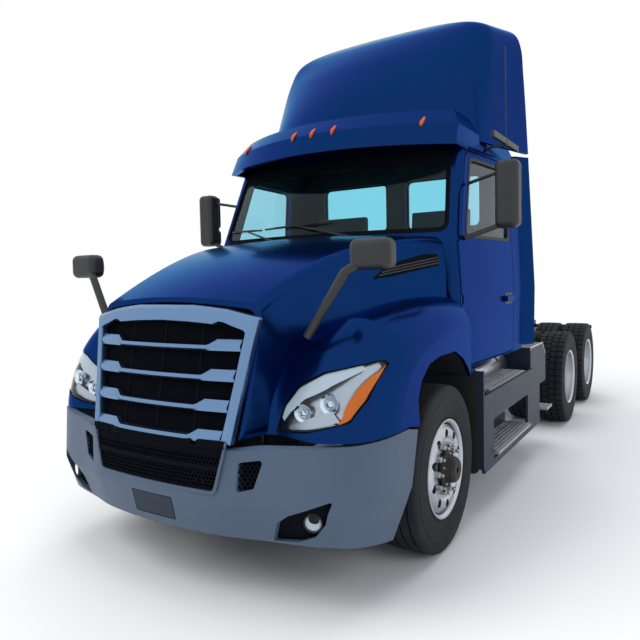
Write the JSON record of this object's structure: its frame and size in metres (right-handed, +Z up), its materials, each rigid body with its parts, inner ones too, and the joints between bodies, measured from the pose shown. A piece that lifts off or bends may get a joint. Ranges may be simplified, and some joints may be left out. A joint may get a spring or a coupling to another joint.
{
  "type": "semi truck tractor unit",
  "caption": "Day-cab truck tractor with a tilting hood, hinged doors, steered front wheels, driven twin wheels and a tilting fifth wheel that couples to a semi-trailer.",
  "frame": {"origin": "on the ground under the middle of the bounding box", "axes": "+Z up; the front of the truck faces -Y; +X is the truck's left side"},
  "size_m": [2.86, 7.05, 3.9549],
  "materials": {
    "paint": "gloss metallic blue",
    "bumper_paint": "slate grey satin",
    "frame_paint": "black chassis paint",
    "cast": "rough",
    "engine_paint": "grey",
    "bright": "polished",
    "alu": "machined",
    "black_plastic": "textured",
    "trim_plastic": "interior grain",
    "rubber": "matt",
    "tyre": "matt",
    "glass": "tinted",
    "lamp": "clear lens",
    "amber": "amber lens",
    "seat_cloth": "woven"
  },
  "bodies": {
    "chassis": {"frame": "frame_paint", "front_axle": "cast", "suspension_arms": "cast", "air_springs": "rubber", "drive_axles": "cast", "engine_and_gearbox": "engine_paint", "radiator": "alu", "front_bumper": "bumper_paint", "bumper_mesh": "black_plastic", "chassis_lamps": "amber", "mud_guards": "rubber", "side_fairings": "bumper_paint", "treads": "alu", "tanks": "alu", "equipment_boxes": "black_plastic", "fifth_wheel_base": "cast", "cab_shell": "paint", "cab_glass": "glass", "sun_visor": "paint", "roof_fairing": "paint", "side_extenders": "paint", "dashboard": "trim_plastic", "seats": "seat_cloth", "antenna": "black_plastic"},
    "hood": {"hood": "paint", "hood_vents": "black_plastic", "headlamps": "lamp", "inner_fenders": "black_plastic", "grille_surround": "bright", "grille_slats": "bright", "grille_mesh": "black_plastic", "hood_mirrors": "black_plastic", "hood_hinges": "frame_paint"},
    "left_door": {"left_door": "paint", "left_door_glass": "glass", "left_mirror": "black_plastic"},
    "right_door": {"right_door": "paint", "right_door_glass": "glass", "right_mirror": "black_plastic"},
    "left_knuckle": {"left_knuckle": "cast"},
    "right_knuckle": {"right_knuckle": "cast"},
    "tie_rod": {"tie_rod": "cast"},
    "left_front_wheel": {"left_front_wheel": "alu", "left_front_tyre": "tyre"},
    "right_front_wheel": {"right_front_wheel": "alu", "right_front_tyre": "tyre"},
    "fifth_wheel": {"fifth_wheel_plate": "cast"},
    "left_forward_duals": {"left_forward_wheels": "alu", "left_forward_tyres": "tyre"},
    "right_forward_duals": {"right_forward_wheels": "alu", "right_forward_tyres": "tyre"},
    "left_rear_duals": {"left_rear_wheels": "alu", "left_rear_tyres": "tyre"},
    "right_rear_duals": {"right_rear_wheels": "alu", "right_rear_tyres": "tyre"}
  },
  "joints": [
    {"name": "hood_tilt", "type": "hinge", "parent": "chassis", "child": "hood", "pos_m": [0, -3.463, 0.69], "axis": [1, 0, 0], "range_deg": [0, 65]},
    {"name": "left_door_swing", "type": "hinge", "parent": "chassis", "child": "left_door", "pos_m": [1.072, -1.667, 1.36], "axis": [0, 0, -1], "range_deg": [0, 70]},
    {"name": "right_door_swing", "type": "hinge", "parent": "chassis", "child": "right_door", "pos_m": [-1.072, -1.667, 1.36], "axis": [0, 0, 1], "range_deg": [0, 70]},
    {"name": "left_steer", "type": "hinge", "parent": "chassis", "child": "left_knuckle", "pos_m": [0.93, -2.24, 0.506], "axis": [0, 0, 1], "range_deg": [-38, 38]},
    {"name": "right_steer", "type": "hinge", "parent": "chassis", "child": "right_knuckle", "pos_m": [-0.93, -2.24, 0.506], "axis": [0, 0, 1], "range_deg": [-38, 38]},
    {"name": "tie_rod_pivot", "type": "hinge", "parent": "left_knuckle", "child": "tie_rod", "pos_m": [0.93, -2.09, 0.385], "axis": [0, 0, 1], "range_deg": [-38, 38]},
    {"name": "left_front_spin", "type": "hinge", "parent": "left_knuckle", "child": "left_front_wheel", "pos_m": [1.03, -2.24, 0.506], "axis": [1, 0, 0], "continuous": true},
    {"name": "right_front_spin", "type": "hinge", "parent": "right_knuckle", "child": "right_front_wheel", "pos_m": [-1.03, -2.24, 0.506], "axis": [1, 0, 0], "continuous": true},
    {"name": "fifth_wheel_tilt", "type": "hinge", "parent": "chassis", "child": "fifth_wheel", "pos_m": [0, 2.17, 1.12], "axis": [1, 0, 0], "range_deg": [-15, 11]},
    {"name": "left_forward_spin", "type": "hinge", "parent": "chassis", "child": "left_forward_duals", "pos_m": [0.92, 1.57, 0.506], "axis": [1, 0, 0], "continuous": true},
    {"name": "right_forward_spin", "type": "hinge", "parent": "chassis", "child": "right_forward_duals", "pos_m": [-0.92, 1.57, 0.506], "axis": [1, 0, 0], "continuous": true},
    {"name": "left_rear_spin", "type": "hinge", "parent": "chassis", "child": "left_rear_duals", "pos_m": [0.92, 2.89, 0.506], "axis": [1, 0, 0], "continuous": true},
    {"name": "right_rear_spin", "type": "hinge", "parent": "chassis", "child": "right_rear_duals", "pos_m": [-0.92, 2.89, 0.506], "axis": [1, 0, 0], "continuous": true}
  ],
  "couplings": [
    {"joint": "right_steer", "follows": "left_steer", "ratio": 1},
    {"joint": "tie_rod_pivot", "follows": "left_steer", "ratio": -1}
  ]
}
